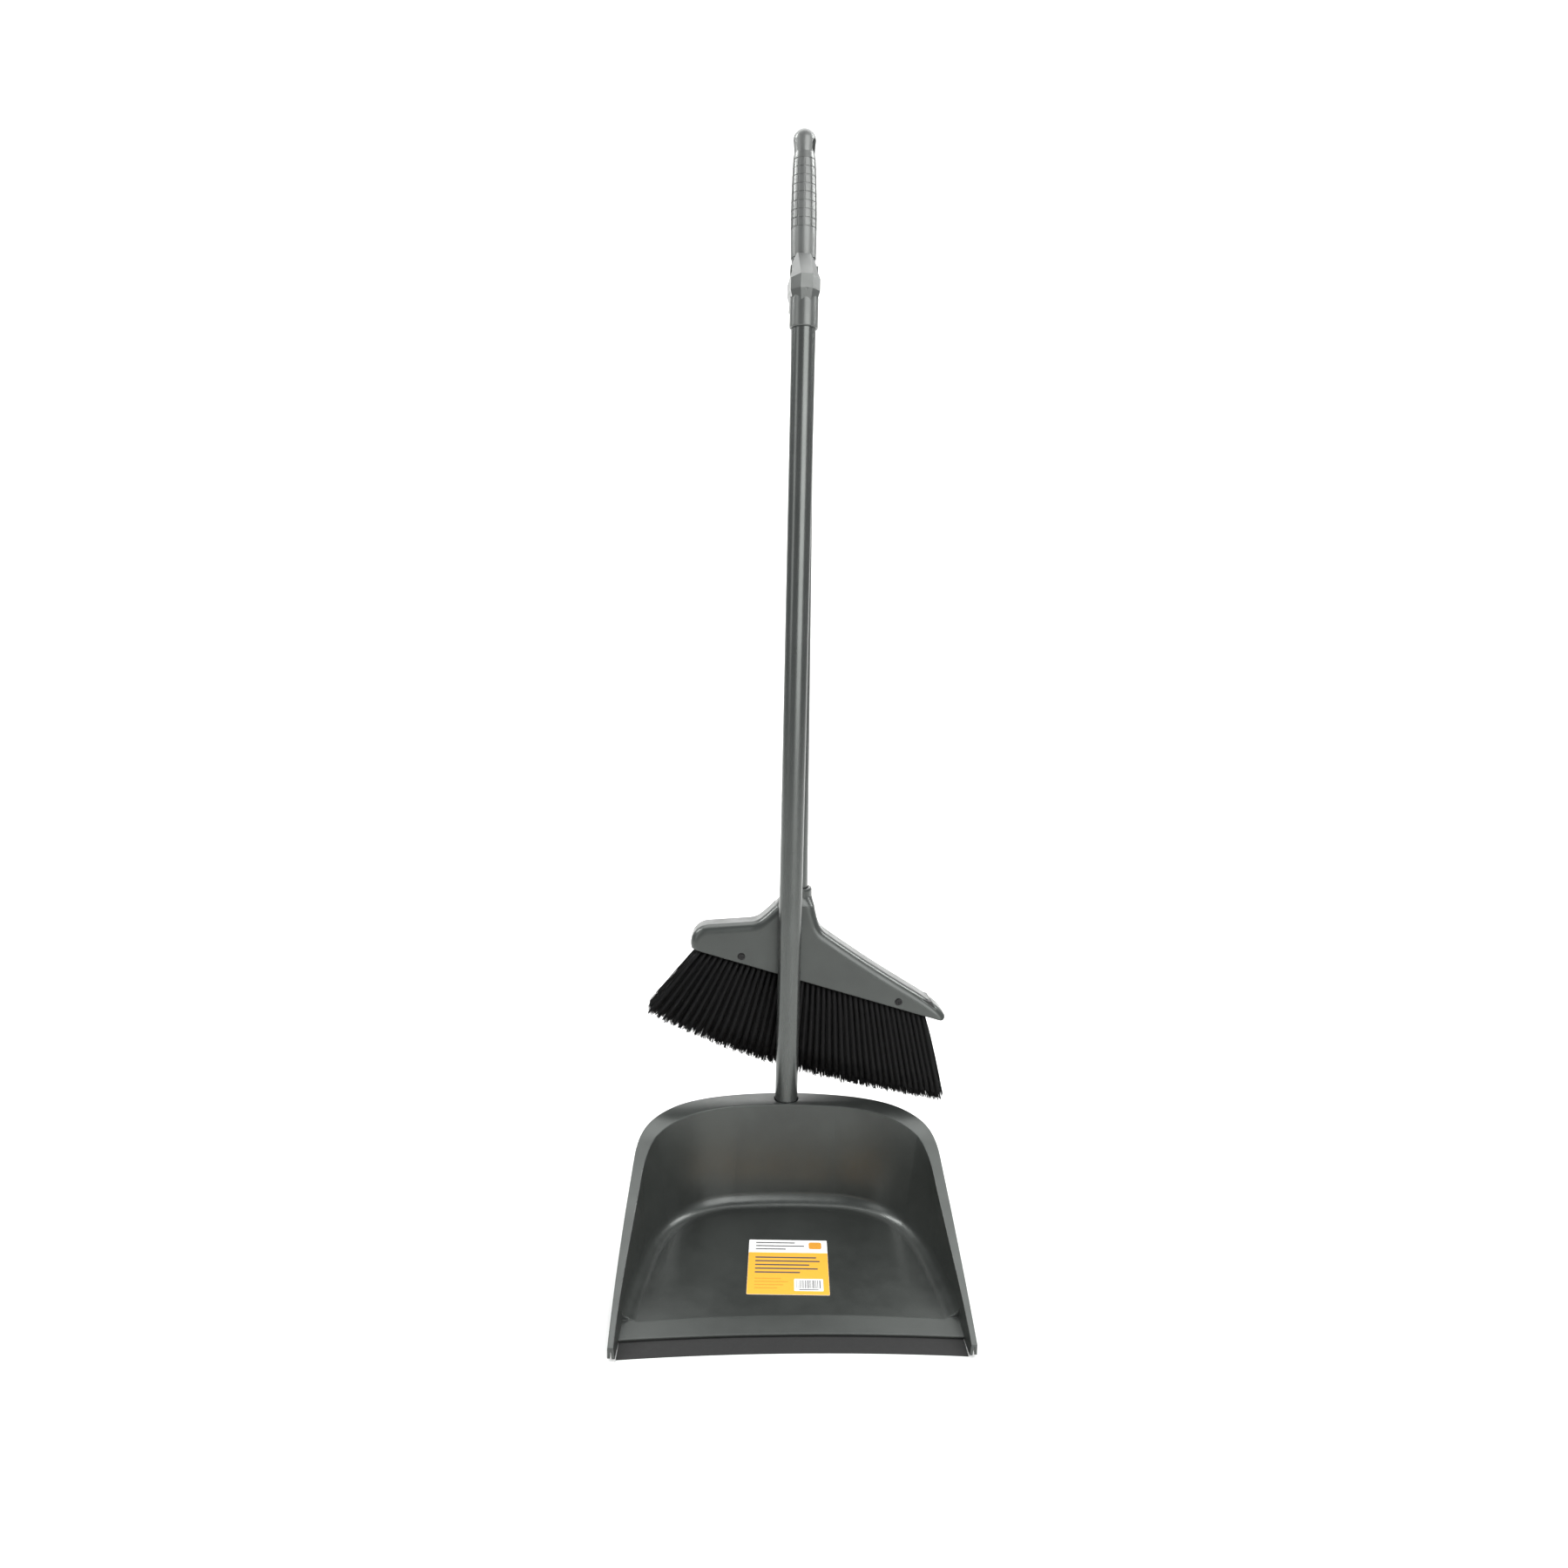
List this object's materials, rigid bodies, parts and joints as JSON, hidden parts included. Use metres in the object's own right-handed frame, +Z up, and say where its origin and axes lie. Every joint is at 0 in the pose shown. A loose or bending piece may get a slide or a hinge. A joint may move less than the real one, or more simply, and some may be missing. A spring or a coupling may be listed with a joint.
{
  "type": "long-handled dust pan and brush set",
  "caption": "Open dust pan with a soft wiping lip on an upright tube handle, and an angled brush on a second tube clipped behind it.",
  "frame": {"origin": "point on the floor under the middle of the dust pan's tube", "axes": "+Z up along the dust pan's tube, -Y out of the pan's open mouth, +Y towards the brush that hangs behind, +X to the right when looking into the pan"},
  "size_m": [0.2913, 0.2749, 0.9689],
  "materials": {
    "silver_plastic": "silver-grey pearl moulding",
    "silver_tube": "silver enamel on thin steel tube",
    "black_rubber": "soft satin",
    "grey_rubber": "soft satin",
    "label_film": "coated label",
    "black_plastic": "moulded",
    "black_steel": "blackened screws",
    "anchor_steel": "flat wire",
    "bristle": "soft flagged filament"
  },
  "bodies": {
    "dust_pan": {"pan_shell": "silver_plastic", "lip_rubber": "black_rubber", "lip_edge": "grey_rubber", "label": "label_film", "pan_tube": "silver_tube", "pan_tube_ferrule": "black_plastic", "clip": "silver_plastic"},
    "brush": {"brush_tube": "silver_tube", "brush_tube_ferrule": "black_plastic", "grip": "silver_plastic", "head_shell": "silver_plastic", "head_screws": "black_steel", "bristle_block": "black_plastic", "tuft_anchors": "anchor_steel", "bristle_row_1": "bristle", "bristle_row_2": "bristle", "bristle_row_3": "bristle", "bristle_row_4": "bristle", "bristle_row_5": "bristle", "bristle_row_6": "bristle"}
  },
  "joints": [
    {"name": "brush_unclip", "type": "slide", "parent": "dust_pan", "child": "brush", "axis": [0, 1, 0], "range_m": [0, 0.12]}
  ]
}
